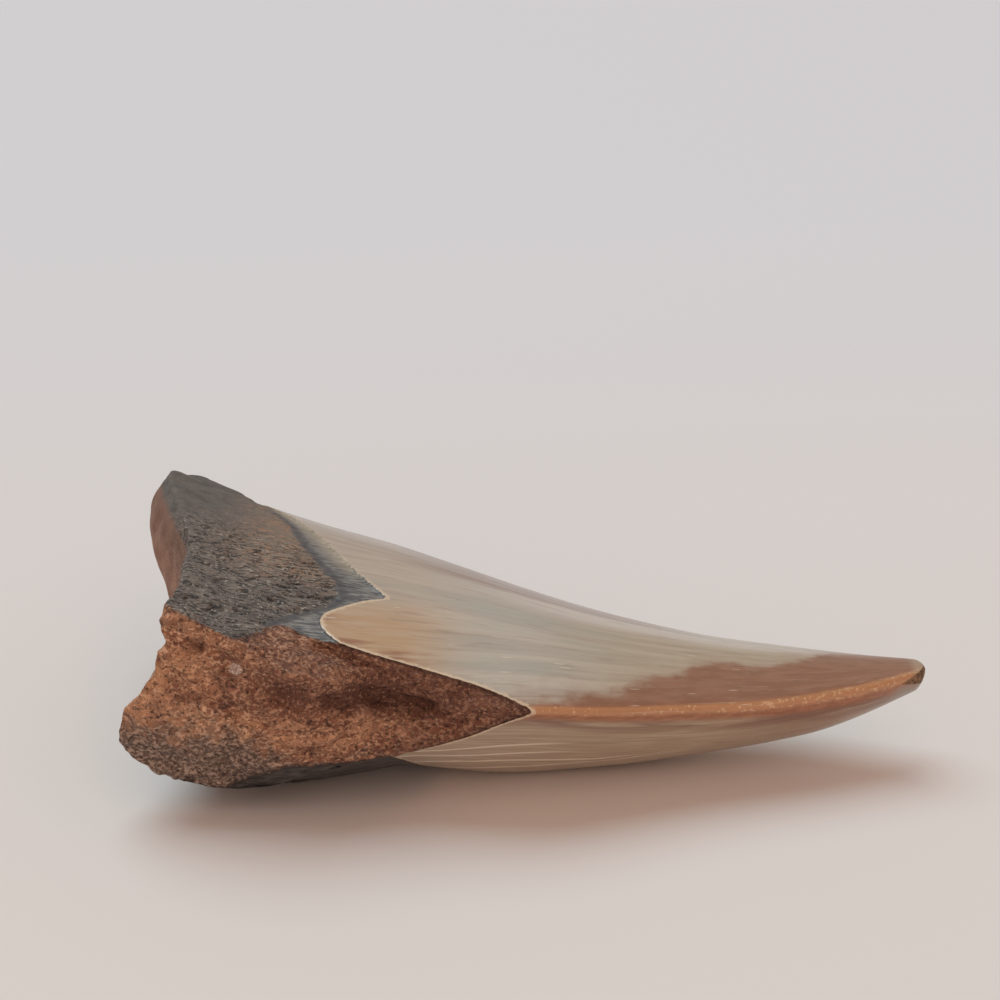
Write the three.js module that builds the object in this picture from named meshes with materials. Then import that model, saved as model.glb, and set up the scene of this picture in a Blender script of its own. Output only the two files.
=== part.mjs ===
// A fossil megalodon tooth, lying on its strongly curved tongue-side face with the flatter lip-side face
// up. The near shoulder and root lobe are broken away, the rest of crown and root is whole.
//
// Millimetres. The shape is worked out in tooth coordinates: t back from the tip, y across towards the
// whole side, z up. The model's frame has X towards the tip and its origin under the middle of the tooth.
import * as THREE from 'three';

// Where the tooth lies in its frame
const TIP_X = 55.4;
const CROWN_AXIS_Y = -12.4;
const FLOOR_Z = 1.5;

// Crown outline seen from above: half width between the cutting edges, at distances from the tip
const HALF_WIDTH = [
  [0, 1.6], [4, 3.5], [10, 5.9], [20, 9.3], [32, 12.5], [45, 16.8], [55, 20.4],
  [64, 25.0], [73, 29.7], [83, 33.8], [92, 37.0], [100, 39.3], [112, 42],
];
// Height of the cutting edges, and how far the lip-side face rises above them in the middle
const EDGE_HEIGHT = [
  [0, 15.2], [7, 14.5], [16, 14.2], [27, 14.4], [37, 15.4], [45, 16.5], [55, 18.4],
  [73, 21.3], [88, 23.6], [96, 25.5], [104, 28.1], [112, 31.1],
];
const LABIAL_RISE = [[0, 0.2], [10, 1.1], [25, 2.1], [45, 2.8], [80, 3.9], [112, 4.1]];
// Height of the lowest line of the tongue-side face: belly of the crown, neck, bulge of the root
const KEEL_HEIGHT = [
  [0, 13.2], [4, 11.2], [10, 8.4], [14, 6.9], [20, 5.5], [30, 3.8], [40, 2.4], [48, 1.7], [55, 1.2],
  [60, 1.4], [66, 2.4], [71, 3.1], [78, 2.0], [84, 1.1], [89, 1.0], [95, 3.3], [99, 6.1], [104, 9.0],
  [112, 14],
];
// How pointed that face is across: 1 is a plain parabola, more is narrower, less is flatter
const KEEL_SHARPNESS = [
  [0, 1], [20, 1], [45, 1.1], [60, 1.35], [72, 1.5], [86, 1.5], [93, 1.2], [100, 0.7], [112, 0.6],
];
const EDGE_BLUNT = 0.6;
const EDGE_BLUNT_POWER = 28;
const TIP_LENGTH = 2.4;

// The enamel line, as distance from the tip against the share of the half width: first along both rims
// of the break, then the chevron of each face
const RIM_TOP = [[-1, 54.3], [-0.92, 56.8], [-0.8, 60.8], [-0.69, 66], [-0.6, 71], [-0.54, 75], [-0.47, 79]];
const NEAR_ARM = [
  [-0.47, 79], [-0.39, 80.9], [-0.31, 81.8], [-0.25, 81.6], [-0.15, 79], [-0.06, 76], [-0.01, 73.4],
];
const FAR_ARM = [[-0.01, 73.4], [0.2, 77.3], [0.38, 80.2], [0.6, 83.4], [0.8, 87], [0.92, 90.5], [1, 94.5]];
const RIM_LOW = [[-1, 54.3], [-0.913, 57.7], [-0.754, 63.5], [-0.645, 68.6], [-0.585, 73]];
const LINGUAL_LINE = [
  [-0.585, 73], [-0.4, 69.5], [-0.25, 67.3], [0, 65], [0.25, 67.3], [0.585, 73], [0.8, 81.5], [1, 94.5],
];
const CHEVRON_POINT = -0.01;

// Outlines of the root, each from share 0 to 1 of its way as [share, t, y]
const ROOT_SIDE = [[0, 94.5, 37.6], [0.25, 97.5, 41.3], [0.6, 102, 44.6], [0.85, 105.7, 45.2], [1, 107.6, 43]];
const ROOT_END_TOP = [
  [0, 107.6, 43], [0.06, 108.4, 38.5], [0.14, 108.2, 34], [0.3, 106, 24.5], [0.48, 103.2, 14],
  [0.59, 101.4, 8], [0.73, 101, 0], [0.88, 100.6, -9], [1, 101.2, -15.2],
];
const ROOT_END_LOW = [
  [0, 107.6, 43], [0.08, 108, 39], [0.25, 107.5, 29], [0.45, 105, 16], [0.63, 103, 5], [0.82, 103, -6],
  [1, 104, -16.5],
];
const BREAK_TOP = [
  [0, 79, -15], [0.18, 83.4, -14.4], [0.36, 87.3, -13.4], [0.45, 89.6, -16.5], [0.52, 91, -18.3],
  [0.7, 94.5, -18], [0.85, 97.7, -16.6], [1, 101.2, -15.2],
];
const BREAK_LOW = [[0, 73, -17.2], [0.25, 80, -17.3], [0.5, 87, -17], [0.75, 95, -17], [1, 104, -16.5]];
// The stepped end of the break, from top to bottom as [share, t, y, z]
const BREAK_END = [
  [0, 101.2, -15.2, 31], [0.1, 101.5, -16.3, 28.6], [0.17, 101.1, -16.8, 27], [0.28, 102, -17.2, 24.5],
  [0.33, 102.3, -17.4, 23.2], [0.43, 104, -17.5, 20.7], [0.5, 104.4, -17.5, 19.2], [0.58, 106.3, -17.5, 17.6],
  [0.66, 107.4, -17.3, 15.4], [0.75, 107.6, -17.1, 13.2], [0.87, 106.8, -16.8, 10.6], [1, 104, -16.5, 9],
];
// The root's bulge swells towards the whole side, and a shallow groove with a pit parts its lobes below
const ROOT_SWELL = { t: 88, y: 9.5, length: 10, width: 7, height: 2.2 };
const ROOT_GROOVE = { y: 1.5, width: 1.8, depth: 1.1, from: 92, to: 98 };
const ROOT_PIT = { t: 92, radius: 1.6, depth: 1.3 };
// The far lobe is thicker below, from a share of the half width outwards
const LOBE_THICKENING = 4;
const LOBE_FROM = 0.35;
// Roundings of the whole side and of the edges at the root's end
const SIDE_RADIUS = 5.5;
const TOP_EDGE_RADIUS = 1.3;
const LOW_EDGE_RADIUS = 4;
// How far the end wall stands out: at the far lobe, and in the notch between the lobes
const LOBE_BULGE = 2.3;
const NOTCH_BULGE = 0.6;
const BULGE_ROUNDNESS = 0.8;
// The root lies a little below the enamel, and its lip-side face has low lumps
const ENAMEL_STEP = 0.3;
const ROOT_LUMPS = 0.25;

// Hollows of the broken face as [t, z, half length, half height, depth]; a negative depth stands out
const HOLLOWS = [
  [73.5, 18.6, 9, 2, 2.1], [88, 21.6, 3, 1.8, 1.1], [97, 26, 3.6, 1.6, 1.4], [84, 23.6, 6, 1.3, -0.7],
  [99, 14, 6, 4, -0.9], [94, 19, 2.4, 1.6, 0.6], [90, 13, 3.5, 1.4, 0.5], [103, 22.5, 1.5, 1.5, 0.6],
];
const HOLLOW_SLOPE = 0.15;
const LUMP_HEIGHT = 0.45;
const LUMP_SIZE = 3.4;

// Mesh counts: columns on each whole face and on each half of the break, rows along crown and root
const FACE_COLUMNS = 26;
const BREAK_COLUMNS = 12;
const CROWN_ROWS = 28;
const ROOT_ROWS = 23;
// Even steps against growing ones: columns of the crown's faces, of its rims, of the root's faces; and
// the power that draws the crown's rows together at the tip
const CROWN_EVENNESS = 0.3;
const RIM_EVENNESS = 0.35;
const ROOT_EVENNESS = 0.45;
const TIP_EASING = 1.15;

/** 0 below a, 1 above b, with a smooth slope between. */
function ramp(x, a, b) {
  const s = THREE.MathUtils.clamp((x - a) / (b - a), 0, 1);
  return s * s * (3 - 2 * s);
}

/** Smooth curve through points [place, value, ...]: a cubic on each span. */
function through(points, x, column = 1) {
  const last = points.length - 1;
  const chord = (i) => (points[i + 1][column] - points[i][column]) / (points[i + 1][0] - points[i][0]);
  const span = (i) => points[i + 1][0] - points[i][0];
  const slope = (i) => {
    if (i === 0) return chord(0);
    if (i === last) return chord(last - 1);
    return (chord(i - 1) * span(i) + chord(i) * span(i - 1)) / (span(i - 1) + span(i));
  };
  let i = 0;
  while (i < last - 1 && x >= points[i + 1][0]) i += 1;
  const s = THREE.MathUtils.clamp((x - points[i][0]) / span(i), 0, 1);
  const start = (2 * s ** 3 - 3 * s ** 2 + 1) * points[i][column];
  const end = (3 * s ** 2 - 2 * s ** 3) * points[i + 1][column];
  const leave = (s ** 3 - 2 * s ** 2 + s) * span(i) * slope(i);
  const arrive = (s ** 3 - s ** 2) * span(i) * slope(i + 1);
  return start + end + leave + arrive;
}

/** Height of a quarter circle at a distance from its low end, as a share of its radius. */
function quarterRound(distance, radius) {
  const s = THREE.MathUtils.clamp(distance / radius, 0, 1);
  return Math.sqrt(1 - (1 - s) ** 2);
}

function halfWidth(t) {
  return through(HALF_WIDTH, t) * quarterRound(t, TIP_LENGTH);
}

/** Share of the half width at y, from -1 at the near cutting edge to 1 at the far one. */
function shareAcross(t, y) {
  return THREE.MathUtils.clamp(y / Math.max(halfWidth(t), 1e-6), -1, 1);
}

/** The cutting edges are worn round, so both faces stand a little apart there. */
function edgeBlunt(t, share) {
  const fullness = Math.sqrt(Math.max(1 - Math.abs(share) ** EDGE_BLUNT_POWER, 0));
  return EDGE_BLUNT * fullness * quarterRound(t, TIP_LENGTH);
}

/** Height of the lip-side face: a flat arch between the cutting edges. */
function labialHeight(t, y) {
  const share = shareAcross(t, y);
  const rise = through(LABIAL_RISE, t) * (1 - share ** 2) * quarterRound(t, TIP_LENGTH);
  return through(EDGE_HEIGHT, t) + rise + edgeBlunt(t, share);
}

/** Height of the tongue-side face: a deep keel between the cutting edges. */
function lingualHeight(t, y) {
  const share = shareAcross(t, y);
  const depth = through(EDGE_HEIGHT, t) - through(KEEL_HEIGHT, t);
  const keel = depth * (1 - share ** 2) ** through(KEEL_SHARPNESS, t) * quarterRound(t, TIP_LENGTH);
  return through(EDGE_HEIGHT, t) - keel - edgeBlunt(t, share);
}

/** A round hill of height 1 over the middle, with the given half sizes. */
function hill(a, b, length, width) {
  return Math.exp(-((a / length) ** 2) - (b / width) ** 2);
}

/** What the root's underside has besides its keel: the swelling, the groove and the nutrient pit. */
function rootUnderside(t, y) {
  const { length, width, height } = ROOT_SWELL;
  const swell = height * hill(t - ROOT_SWELL.t, y - ROOT_SWELL.y, length, width);
  const across = y - ROOT_GROOVE.y;
  const grooved = ramp(t, ROOT_GROOVE.from, ROOT_GROOVE.to);
  const groove = ROOT_GROOVE.depth * hill(0, across, 1, ROOT_GROOVE.width) * grooved;
  const pit = ROOT_PIT.depth * hill(t - ROOT_PIT.t, across, ROOT_PIT.radius, ROOT_PIT.radius);
  return groove + pit - swell;
}

/** Rounded lumps between -1 and 1, from waves that bend each other. */
function lumps(a, b, size) {
  const p = a / size;
  const q = b / size;
  return Math.sin(p + 1.7 * Math.sin(0.9 * q + 0.4)) * Math.cos(q - 1.3 * Math.sin(0.8 * p + 1.1));
}

/** How far the broken face lies inwards at a place: its hollows, less its lumps. */
function breakDepth(t, z) {
  const hollow = HOLLOWS.reduce((sum, [t0, z0, length, height, depth]) => (
    sum + depth * hill(t - t0, z - z0 - HOLLOW_SLOPE * (t - t0), length, height)
  ), 0);
  return hollow - LUMP_HEIGHT * lumps(t, z, LUMP_SIZE / 2);
}

/** Shares 0 to 1 in count steps, the first ones finer. */
function easedShares(count, straight) {
  return Array.from({ length: count + 1 }, (_, i) => {
    const a = i / count;
    return straight * a + (1 - straight) * a * a;
  });
}

/** Columns of the crown around its section: share of the half width, start on the enamel line, and face. */
function crownColumns() {
  const side = easedShares(FACE_COLUMNS, CROWN_EVENNESS);
  const near = easedShares(BREAK_COLUMNS, RIM_EVENNESS);
  const topCorner = RIM_TOP.at(-1)[0];
  const lowCorner = RIM_LOW.at(-1)[0];
  const columns = [];
  for (let i = 0; i < FACE_COLUMNS; i += 1) {
    const share = 1 - (1 - topCorner) * side[i];
    const arm = share > CHEVRON_POINT ? FAR_ARM : NEAR_ARM;
    columns.push({ share, start: through(arm, share), height: labialHeight });
  }
  for (let i = BREAK_COLUMNS; i > 0; i -= 1) {
    const share = -1 + (topCorner + 1) * near[i];
    columns.push({ share, start: through(RIM_TOP, share), height: labialHeight });
  }
  for (let i = 0; i < BREAK_COLUMNS; i += 1) {
    const share = -1 + (lowCorner + 1) * near[i];
    columns.push({ share, start: through(RIM_LOW, share), height: lingualHeight });
  }
  for (let i = FACE_COLUMNS; i > 0; i -= 1) {
    const share = 1 - (1 - lowCorner) * side[i];
    columns.push({ share, start: through(LINGUAL_LINE, share), height: lingualHeight });
  }
  return columns;
}

/** Rows of the crown from the enamel line towards the tip, each one loop of points [t, y, z]. */
function crownRows(columns) {
  return Array.from({ length: CROWN_ROWS }, (_, row) => {
    const left = (1 - row / CROWN_ROWS) ** TIP_EASING;
    return columns.map(({ share, start, height }) => {
      const t = start * left;
      const y = share * halfWidth(t);
      return [t, y, height(t, y)];
    });
  });
}

function between(a, b, share) {
  return (1 - share) * a + share * b;
}

/** Grid of points spanned between four edges: start and end row, first and last column. */
function spannedGrid(start, end, first, last, shares, rowShares) {
  const dimensions = Math.min(start[0].length, end[0].length, first[0].length);
  const spanned = (i, j, k) => {
    const u = shares[i];
    const r = rowShares[j];
    const along = between(start[i][k], end[i][k], r);
    const across = between(first[j][k], last[j][k], u);
    const startCorners = between(start[0][k], start.at(-1)[k], u);
    const endCorners = between(end[0][k], end.at(-1)[k], u);
    return along + across - between(startCorners, endCorners, r);
  };
  return rowShares.map((_row, j) => shares.map((_share, i) => (
    Array.from({ length: dimensions }, (_number, k) => spanned(i, j, k))
  )));
}

/** Points of an outline [share, t, y, ...] at the given shares of its way. */
function outline(points, shares) {
  return shares.map((share) => points[0].slice(1).map((_, k) => through(points, share, k + 1)));
}

function distanceAcross(a, b) {
  return Math.hypot(a[0] - b[0], a[1] - b[1]);
}

/** One whole face of the root, from the far side (share 0) to the break (share 1), without its roundings. */
function rootFace(enamelLine, end, nearRim, shares, rowShares, height) {
  const side = outline(ROOT_SIDE, rowShares);
  const near = outline(nearRim, rowShares);
  const grid = spannedGrid(enamelLine, outline(end, shares), side, near, shares, rowShares);
  return grid.map((row, j) => row.map(([t, y]) => [t, y, height(t, y, rowShares[j])]));
}

/** Both faces meet in a round side and bend over at the end of the root. */
function roundRootFaces(labial, lingual, shares, rowShares) {
  const middle = labial.map((row, j) => (row[0][2] + lingual[j][0][2]) / 2);
  const faces = [[labial, TOP_EDGE_RADIUS, -1], [lingual, LOW_EDGE_RADIUS, 1]];
  for (const [face, radius, inwards] of faces) {
    const sideDistances = face.map((row) => row.map((point) => distanceAcross(point, row[0])));
    const endDistances = face.map((row) => row.map((point, i) => distanceAcross(point, face.at(-1)[i])));
    face.forEach((row, j) => row.forEach((point, i) => {
      const sideRadius = SIDE_RADIUS * ramp(rowShares[j], 0, 0.4) + 0.01;
      point[2] = middle[j] + (point[2] - middle[j]) * quarterRound(sideDistances[j][i], sideRadius);
      const reach = ramp(shares[i], 0, 0.12) * (1 - 0.8 * ramp(shares[i], 0.8, 1));
      point[2] += inwards * radius * (1 - quarterRound(endDistances[j][i], radius)) * reach;
    }));
  }
}

/** The end wall of the root, from the far lobe's tip to the break, between the two faces' ends. */
function rootEnd(topEdge, lowEdge, nearEdge, shares) {
  const steps = nearEdge.length - 1;
  return shares.map((_, i) => Array.from({ length: steps + 1 }, (_unused, m) => {
    const down = m / steps;
    const y = (topEdge[i][1] + lowEdge[i][1]) / 2;
    const nearness = 1 - ramp(y, -16, -2);
    const farLobe = LOBE_BULGE * ramp(y, 10, 28) * (1 - ramp(y, 34, 42.5));
    const notch = NOTCH_BULGE * (1 - nearness) * (1 - ramp(y, 34, 42.5));
    const point = [0, 1, 2].map((k) => {
      const nearChord = between(nearEdge[0][k], nearEdge[steps][k], down);
      return between(topEdge[i][k], lowEdge[i][k], down) + nearness * (nearEdge[m][k] - nearChord);
    });
    const inside = Math.sin(Math.PI * down);
    point[0] += (farLobe + notch) * inside ** BULGE_ROUNDNESS;
    point[0] += LUMP_HEIGHT * lumps(point[1], point[2], LUMP_SIZE) * inside * ramp(y, -14, -8);
    return point;
  }));
}

/** The whole root: rows of closed loops, and the grid of its end wall. */
function rootRowsAndEnd(enamelLine) {
  const corner = FACE_COLUMNS;
  const lowCorner = FACE_COLUMNS + 2 * BREAK_COLUMNS;
  const shares = easedShares(FACE_COLUMNS, ROOT_EVENNESS);
  const rowShares = Array.from({ length: ROOT_ROWS + 1 }, (_, j) => {
    const a = j / ROOT_ROWS;
    return 0.7 * a + 0.3 * ramp(a, 0, 1);
  });
  const topLine = enamelLine.slice(0, corner + 1);
  const lowLine = [...enamelLine.slice(lowCorner), enamelLine[0]].reverse();
  const breakLine = enamelLine.slice(corner, lowCorner + 1);

  const topHeight = (t, y, row) => {
    const sunk = ENAMEL_STEP * ramp(row, 0, 0.02) * (1 - ramp(row, 0.15, 0.4));
    return labialHeight(t, y) - sunk + ROOT_LUMPS * lumps(t, y, LUMP_SIZE) * ramp(row, 0.2, 0.4);
  };
  const lowHeight = (t, y, row) => {
    const lobe = LOBE_THICKENING * ramp(row, 0, 0.6) * ramp(y / through(HALF_WIDTH, t), LOBE_FROM, 1);
    return lingualHeight(t, y) - lobe + rootUnderside(t, y) * ramp(row, 0, 0.1);
  };
  const labial = rootFace(topLine, ROOT_END_TOP, BREAK_TOP, shares, rowShares, topHeight);
  const lingual = rootFace(lowLine, ROOT_END_LOW, BREAK_LOW, shares, rowShares, lowHeight);
  roundRootFaces(labial, lingual, shares, rowShares);

  const breakShares = Array.from({ length: 2 * BREAK_COLUMNS + 1 }, (_, i) => i / (2 * BREAK_COLUMNS));
  const nearEdge = outline(BREAK_END, breakShares);
  nearEdge[0] = labial.at(-1).at(-1);
  nearEdge[nearEdge.length - 1] = lingual.at(-1).at(-1);
  const topRim = labial.map((row) => row.at(-1));
  const lowRim = lingual.map((row) => row.at(-1));
  const broken = spannedGrid(breakLine, nearEdge, topRim, lowRim, breakShares, rowShares);
  broken.forEach((row, j) => row.forEach((point, i) => {
    const alongRow = Math.sqrt(Math.sin(Math.PI * breakShares[i]));
    const inside = alongRow * ramp(rowShares[j], 0, 0.06) * (1 - ramp(rowShares[j], 0.93, 1));
    point[1] += breakDepth(point[0], point[2]) * inside;
  }));

  const rows = labial.map((row, j) => [
    ...row.slice(0, -1), ...broken[j].slice(0, -1), ...lingual[j].slice(1).reverse(),
  ]);
  return { rows, end: rootEnd(labial.at(-1), lingual.at(-1), nearEdge, shares) };
}

/** Tooth coordinates to the model's frame, with the undersides worn level where the tooth rests. */
function placed([t, y, z]) {
  return [TIP_X - t, y + CROWN_AXIS_Y, Math.max(z - FLOOR_Z, 0)];
}

/** The tooth as one closed surface: crown, root and the root's end wall share their border points. */
function toothGeometry() {
  const positions = [];
  const triangles = [];
  const keep = (point) => positions.push(placed(point)) - 1;
  const crown = crownRows(crownColumns());
  const { rows: root, end } = rootRowsAndEnd(crown[0]);
  const around = crown[0].length;

  // Sections from the end of the root to the tip
  const rootIds = root.slice(1).reverse().map((row) => row.map(keep));
  const crownIds = crown.map((row) => row.map(keep));
  const loops = [...rootIds, ...crownIds];
  for (let j = 0; j + 1 < loops.length; j += 1) {
    for (let i = 0; i < around; i += 1) {
      const next = (i + 1) % around;
      triangles.push([loops[j][i], loops[j][next], loops[j + 1][next]]);
      triangles.push([loops[j][i], loops[j + 1][next], loops[j + 1][i]]);
    }
  }
  const tip = keep([0, 0, through(EDGE_HEIGHT, 0)]);
  const first = loops.at(-1);
  first.forEach((id, i) => triangles.push([id, first[(i + 1) % around], tip]));

  // End wall: its border is the root's last loop, and at the far lobe it closes to one point
  const border = loops[0];
  const steps = 2 * BREAK_COLUMNS;
  const wall = end.map((column, i) => column.map((point, m) => {
    if (i === 0) return border[0];
    if (m === 0) return border[i];
    if (m === steps) return border[(around - i) % around];
    if (i === FACE_COLUMNS) return border[FACE_COLUMNS + m];
    return keep(point);
  }));
  for (let i = 0; i < FACE_COLUMNS; i += 1) {
    for (let m = 0; m < steps; m += 1) {
      triangles.push([wall[i][m], wall[i + 1][m + 1], wall[i + 1][m]]);
      if (i > 0) triangles.push([wall[i][m], wall[i][m + 1], wall[i + 1][m + 1]]);
    }
  }

  const geometry = new THREE.BufferGeometry();
  geometry.setAttribute('position', new THREE.Float32BufferAttribute(positions.flat(), 3));
  geometry.setIndex(triangles.flat());
  geometry.computeVertexNormals();
  return geometry;
}

const fossil = new THREE.MeshStandardMaterial({ color: 0x9c8b78, roughness: 0.4, metalness: 0 });
const megalodonTooth = new THREE.Mesh(toothGeometry(), fossil);
megalodonTooth.name = 'megalodon_tooth';

const part = new THREE.Group();
part.add(megalodonTooth);
export default part;
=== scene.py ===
# %% [markdown]
# # A megalodon tooth
#
# The real tooth is one piece that grew in layers: a polished enamel crown, a narrow dark band under it and a
# porous root. It lies on its strongly curved face. The near shoulder has broken away, so the brown inside of
# the root shows beside the grey outside. One mesh carries all of it, and one material paints every layer,
# because a natural tooth has no seams: a change of layer is a change of height, colour and gloss.

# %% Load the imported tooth
import itertools
import math

import bpy
import numpy as np
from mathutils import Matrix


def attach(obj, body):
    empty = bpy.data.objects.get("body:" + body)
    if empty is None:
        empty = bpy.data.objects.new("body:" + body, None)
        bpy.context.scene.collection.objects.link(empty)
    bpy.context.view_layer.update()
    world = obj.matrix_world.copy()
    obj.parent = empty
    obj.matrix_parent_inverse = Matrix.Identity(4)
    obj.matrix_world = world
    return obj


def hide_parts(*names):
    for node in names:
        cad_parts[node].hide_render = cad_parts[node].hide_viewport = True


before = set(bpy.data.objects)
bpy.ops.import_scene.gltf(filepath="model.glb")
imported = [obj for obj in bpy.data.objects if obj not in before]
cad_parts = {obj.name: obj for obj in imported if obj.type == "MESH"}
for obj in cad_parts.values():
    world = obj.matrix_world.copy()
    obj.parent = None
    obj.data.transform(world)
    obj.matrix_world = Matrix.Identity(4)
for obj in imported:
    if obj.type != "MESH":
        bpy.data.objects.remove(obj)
bpy.context.view_layer.update()
NODE = "megalodon_tooth"

# %% [markdown]
# ## The camera
#
# A long lens from low in front, as a person bends down to look at a thing on a table. It could be placed by
# eye, but here its height, distance and tilt are worked out values, so that the perspective of the tooth,
# with a large root and a slim far edge, is the one of the photograph.

# %% Camera
FRAME_PIXELS = 1000
FOCAL_PIXELS = 2077
CAMERA_PLACE = (-0.0029, -0.2721, 0.1328)
LOOKS_DOWN = math.radians(20)
SENSOR_WIDTH = 36

camera = bpy.data.objects.new("camera", bpy.data.cameras.new("camera"))
camera.location = CAMERA_PLACE
camera.rotation_euler = (math.pi / 2 - LOOKS_DOWN, 0, 0)
camera.data.sensor_width = SENSOR_WIDTH
camera.data.lens = SENSOR_WIDTH * FOCAL_PIXELS / FRAME_PIXELS
bpy.context.scene.collection.objects.link(camera)
bpy.context.scene.camera = camera
print("lens", round(camera.data.lens, 1), "mm")

# %% [markdown]
# ## Curves from a few stations
#
# A tooth has no straight line, yet a few measured stations describe it well. A smooth curve is drawn through
# them, and everything else is worked out from such curves. Lengths are in millimetres and in tooth
# coordinates: t back from the tip, y across to the whole side, z up.


# %% Curve helpers
def through(points, place, column=1):
    """Smooth curve through rows [place, value, ...]: a cubic per span, level with its neighbours' chords."""
    rows = np.array(points, float)
    places, values = rows[:, 0], rows[:, column]
    place = np.asarray(place, float)
    slope = np.gradient(values, places)
    i = np.clip(np.searchsorted(places, place, side="right") - 1, 0, len(places) - 2)
    span = places[i + 1] - places[i]
    s = np.clip((place - places[i]) / span, 0, 1)
    start = (2 * s**3 - 3 * s**2 + 1) * values[i]
    end = (3 * s**2 - 2 * s**3) * values[i + 1]
    leave = (s**3 - 2 * s**2 + s) * span * slope[i]
    arrive = (s**3 - s**2) * span * slope[i + 1]
    return start + end + leave + arrive


def ramp(x, low, high):
    """0 below low, 1 above high, and a smooth S between them."""
    s = np.clip((x - low) / (high - low), 0, 1)
    return s * s * (3 - 2 * s)


def quarter_round(distance, radius):
    """Height of a quarter circle at a distance from its foot, as a share of its radius."""
    return np.sqrt(1 - (1 - np.clip(distance / radius, 0, 1)) ** 2)


def hill(a, b, length, width):
    """A round hill of height 1 with the given half sizes."""
    return np.exp(-((a / length) ** 2) - (b / width) ** 2)


print("half way up a ramp:", float(ramp(0.5, 0, 1)))

# %% [markdown]
# ## The two faces
#
# A shark's tooth is a flat arch on its lip side and a deep keel on its tongue side, and they meet in the two
# cutting edges. It could be sculpted, or lofted from drawn sections. Here each face is a height above the
# table, a function of t and y, so the same few dimensions shape the solid and this finer mesh.

# %% Dimensions of the faces
TIP_X = 55.4
CROWN_AXIS_Y = -12.4
FLOOR_Z = 1.5
HALF_WIDTH = [
    (0, 1.6), (4, 3.5), (10, 5.9), (20, 9.3), (32, 12.5), (45, 16.8), (55, 20.4),
    (64, 25.0), (73, 29.7), (83, 33.8), (92, 37.0), (100, 39.3), (112, 42),
]
EDGE_HEIGHT = [
    (0, 15.2), (7, 14.5), (16, 14.2), (27, 14.4), (37, 15.4), (45, 16.5), (55, 18.4),
    (73, 21.3), (88, 23.6), (96, 25.5), (104, 28.1), (112, 31.1),
]
LABIAL_RISE = [(0, 0.2), (10, 1.1), (25, 2.1), (45, 2.8), (80, 3.9), (112, 4.1)]
KEEL_HEIGHT = [
    (0, 13.2), (4, 11.2), (10, 8.4), (14, 6.9), (20, 5.5), (30, 3.8), (40, 2.4), (48, 1.7), (55, 1.2),
    (60, 1.4), (66, 2.4), (71, 3.1), (78, 2.0), (84, 1.1), (89, 1.0), (95, 3.3), (99, 6.1), (104, 9.0),
    (112, 14),
]
KEEL_SHARPNESS = [
    (0, 1), (20, 1), (45, 1.1), (60, 1.35), (72, 1.5), (86, 1.5), (93, 1.2), (100, 0.7), (112, 0.6),
]
EDGE_BLUNT = 0.6
EDGE_BLUNT_POWER = 28
LEAST_WIDTH = 1e-6
TIP_LENGTH = 1.4


# %% Heights of the faces
def half_width(t):
    """Half the distance between the cutting edges, drawn in to a point over the last few millimetres."""
    return through(HALF_WIDTH, t) * quarter_round(t, TIP_LENGTH)


def share_across(t, y):
    """-1 at the near cutting edge, 0 in the middle, 1 at the far one."""
    return np.clip(y / np.maximum(half_width(t), LEAST_WIDTH), -1, 1)


def edge_blunt(t, share):
    """Half the thickness that wear has left at the cutting edges: full inside, gone at the very edge."""
    fullness = np.sqrt(np.clip(1 - np.abs(share) ** EDGE_BLUNT_POWER, 0, 1))
    return EDGE_BLUNT * fullness * quarter_round(t, TIP_LENGTH)


def labial_height(t, y):
    """Lip-side face: the edge's height, plus a flat parabola, plus the blunt edge."""
    share = share_across(t, y)
    rise = through(LABIAL_RISE, t) * (1 - share**2) * quarter_round(t, TIP_LENGTH)
    return through(EDGE_HEIGHT, t) + rise + edge_blunt(t, share)


def lingual_height(t, y):
    """Tongue-side face: the edge's height, less a parabola raised to the sharpness of the keel there."""
    share = share_across(t, y)
    depth = through(EDGE_HEIGHT, t) - through(KEEL_HEIGHT, t)
    keel = depth * (1 - share**2) ** through(KEEL_SHARPNESS, t) * quarter_round(t, TIP_LENGTH)
    return through(EDGE_HEIGHT, t) - keel - edge_blunt(t, share)


middle = np.array([20.0, 45.0, 70.0, 90.0])
print("thickness along the middle:", np.round(labial_height(middle, 0) - lingual_height(middle, 0), 1))

# %% [markdown]
# ## The enamel line
#
# The enamel ends in a chevron on both faces, and at the near side in the two rims of the break. Rows and
# columns of the mesh follow that line, so that its border stays crisp: the crown is a grid of columns that
# start on the line and run together in the tip.

# %% The enamel line and the crown's columns
RIM_TOP = [(-1, 54.3), (-0.92, 56.8), (-0.8, 60.8), (-0.69, 66), (-0.6, 71), (-0.54, 75), (-0.47, 79)]
NEAR_ARM = [
    (-0.47, 79), (-0.39, 80.9), (-0.31, 81.8), (-0.25, 81.6), (-0.15, 79), (-0.06, 76), (-0.01, 73.4),
]
FAR_ARM = [(-0.01, 73.4), (0.2, 77.3), (0.38, 80.2), (0.6, 83.4), (0.8, 87), (0.92, 90.5), (1, 94.5)]
RIM_LOW = [(-1, 54.3), (-0.913, 57.7), (-0.754, 63.5), (-0.645, 68.6), (-0.585, 73)]
LINGUAL_LINE = [
    (-0.585, 73), (-0.4, 69.5), (-0.25, 67.3), (0, 65), (0.25, 67.3), (0.585, 73), (0.8, 81.5), (1, 94.5),
]
CHEVRON_POINT = -0.01
FACE_COLUMNS = 72
BREAK_COLUMNS = 28
CROWN_ROWS = 230
ROOT_ROWS = 88
FACE_EVENNESS = 0.3
BREAK_EVENNESS = 0.35
ROOT_EVENNESS = 0.45
TIP_CROWDING = 1.1


def eased(count, straight):
    """Shares 0 to 1 in count steps: a mix of even steps and of squares, so that the first ones are finer."""
    a = np.arange(count + 1) / count
    return straight * a + (1 - straight) * a**2


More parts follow.
